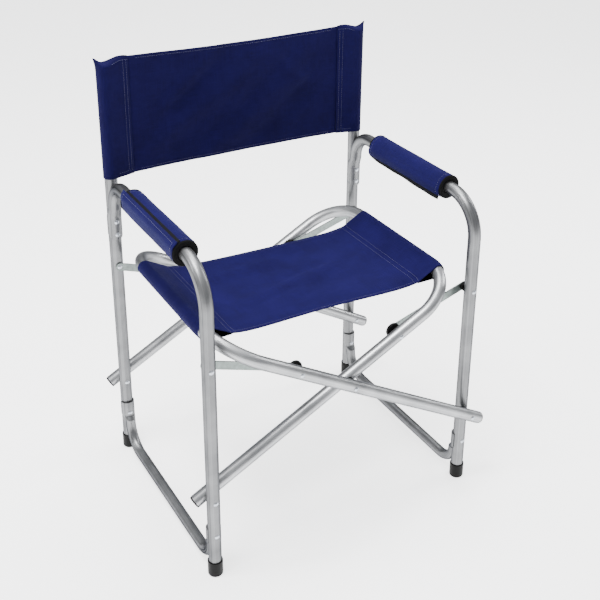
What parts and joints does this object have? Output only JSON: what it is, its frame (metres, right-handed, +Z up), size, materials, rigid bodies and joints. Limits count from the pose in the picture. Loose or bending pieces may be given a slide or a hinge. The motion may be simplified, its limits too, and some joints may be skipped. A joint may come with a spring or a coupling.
{
  "type": "folding director chair",
  "caption": "Folding director chair: tubular side frames with armrests, crossed seat frames, a sling seat and a sling back.",
  "frame": {"origin": "on the floor, at the middle of the chair's width and depth", "axes": "+Z up, +X to the right side frame as seen from the front, +Y from the front to the back rest"},
  "size_m": [0.5564, 0.4545, 0.7721],
  "materials": {
    "frame_tube": "satin anodised, fine lengthwise drawing lines",
    "link_steel": "bright zinc plate",
    "rivet_steel": "bright zinc plate",
    "washer_plastic": "moulded",
    "black_plastic": "moulded",
    "foot_rubber": "moulded",
    "foam": "closed-cell foam",
    "closure_tape": "hook-and-loop tape",
    "armrest_cloth": "plain woven polyester",
    "seat_cloth": "plain woven polyester",
    "back_cloth": "plain woven polyester"
  },
  "bodies": {
    "left_side": {"back_panel": "back_cloth", "left_arm_tube": "frame_tube", "left_armrest_closure": "closure_tape", "left_armrest_cover": "armrest_cloth", "left_armrest_foam": "foam", "left_back_sleeve": "back_cloth", "left_frame_rivets": "rivet_steel", "left_front_foot_cap": "foot_rubber", "left_link_rivets": "rivet_steel", "left_lower_stretcher": "frame_tube", "left_pivot_rivets": "rivet_steel", "left_pivot_washers": "washer_plastic", "left_rear_foot_cap": "foot_rubber", "left_rear_upright": "frame_tube", "left_upright_plug": "black_plastic"},
    "seat_frame_b": {"crossing_rivets": "rivet_steel", "crossing_washers": "washer_plastic", "seat_frame_b_link_rivets": "rivet_steel", "seat_frame_b_plugs": "black_plastic", "seat_frame_b_tube": "frame_tube", "seat_panel": "seat_cloth", "seat_sleeve_right": "seat_cloth"},
    "seat_frame_a": {"seat_frame_a_link_rivets": "rivet_steel", "seat_frame_a_plugs": "black_plastic", "seat_frame_a_tube": "frame_tube", "seat_sleeve_left": "seat_cloth"},
    "right_side": {"right_arm_tube": "frame_tube", "right_armrest_closure": "closure_tape", "right_armrest_cover": "armrest_cloth", "right_armrest_foam": "foam", "right_back_sleeve": "back_cloth", "right_frame_rivets": "rivet_steel", "right_front_foot_cap": "foot_rubber", "right_leg_spacer": "black_plastic", "right_link_rivets": "rivet_steel", "right_lower_stretcher": "frame_tube", "right_pivot_rivets": "rivet_steel", "right_pivot_washers": "washer_plastic", "right_rear_foot_cap": "foot_rubber", "right_rear_upright": "frame_tube", "right_upright_plug": "black_plastic"},
    "link_front_left": {"link_front_left_bar": "link_steel", "link_front_left_rivet": "rivet_steel", "link_front_left_spacer": "black_plastic"},
    "link_rear_left": {"link_rear_left_bar": "link_steel", "link_rear_left_rivet": "rivet_steel", "link_rear_left_spacer": "black_plastic"},
    "link_front_right": {"link_front_right_bar": "link_steel", "link_front_right_rivet": "rivet_steel", "link_front_right_spacer": "black_plastic"},
    "link_rear_right": {"link_rear_right_bar": "link_steel", "link_rear_right_rivet": "rivet_steel", "link_rear_right_spacer": "black_plastic"}
  },
  "joints": [
    {"name": "fold", "type": "hinge", "parent": "left_side", "child": "seat_frame_b", "pos_m": [-0.25192, 0, 0.15199], "axis": [0, -1, 0], "range_deg": [0, 28.2], "deforming": ["seat_panel", "back_panel"]},
    {"name": "crossing", "type": "hinge", "parent": "seat_frame_b", "child": "seat_frame_a", "pos_m": [0, 0, 0.29685], "axis": [0, 1, 0], "range_deg": [0, 68.7]},
    {"name": "right_pivot", "type": "hinge", "parent": "seat_frame_a", "child": "right_side", "pos_m": [0.25192, 0, 0.15199], "axis": [0, -1, 0], "range_deg": [0, 28.3]},
    {"name": "link_front_left_pivot", "type": "hinge", "parent": "left_side", "child": "link_front_left", "pos_m": [-0.24893, 0, 0.39997], "axis": [0, -1, 0], "range_deg": [0, 61.2]},
    {"name": "link_rear_left_pivot", "type": "hinge", "parent": "left_side", "child": "link_rear_left", "pos_m": [-0.24893, 0, 0.39997], "axis": [0, -1, 0], "range_deg": [0, 61.2]},
    {"name": "link_front_right_pivot", "type": "hinge", "parent": "right_side", "child": "link_front_right", "pos_m": [0.24893, 0, 0.39997], "axis": [0, 1, 0], "range_deg": [0, 61.2]},
    {"name": "link_rear_right_pivot", "type": "hinge", "parent": "right_side", "child": "link_rear_right", "pos_m": [0.24893, 0, 0.39997], "axis": [0, 1, 0], "range_deg": [0, 61.2]}
  ],
  "couplings": [
    {"joint": "crossing", "follows": "fold", "ratio": 2.4315},
    {"joint": "right_pivot", "follows": "fold", "ratio": 1},
    {"joint": "link_front_left_pivot", "follows": "fold", "ratio": 2.165},
    {"joint": "link_rear_left_pivot", "follows": "fold", "ratio": 2.165},
    {"joint": "link_front_right_pivot", "follows": "fold", "ratio": 2.165},
    {"joint": "link_rear_right_pivot", "follows": "fold", "ratio": 2.165}
  ]
}
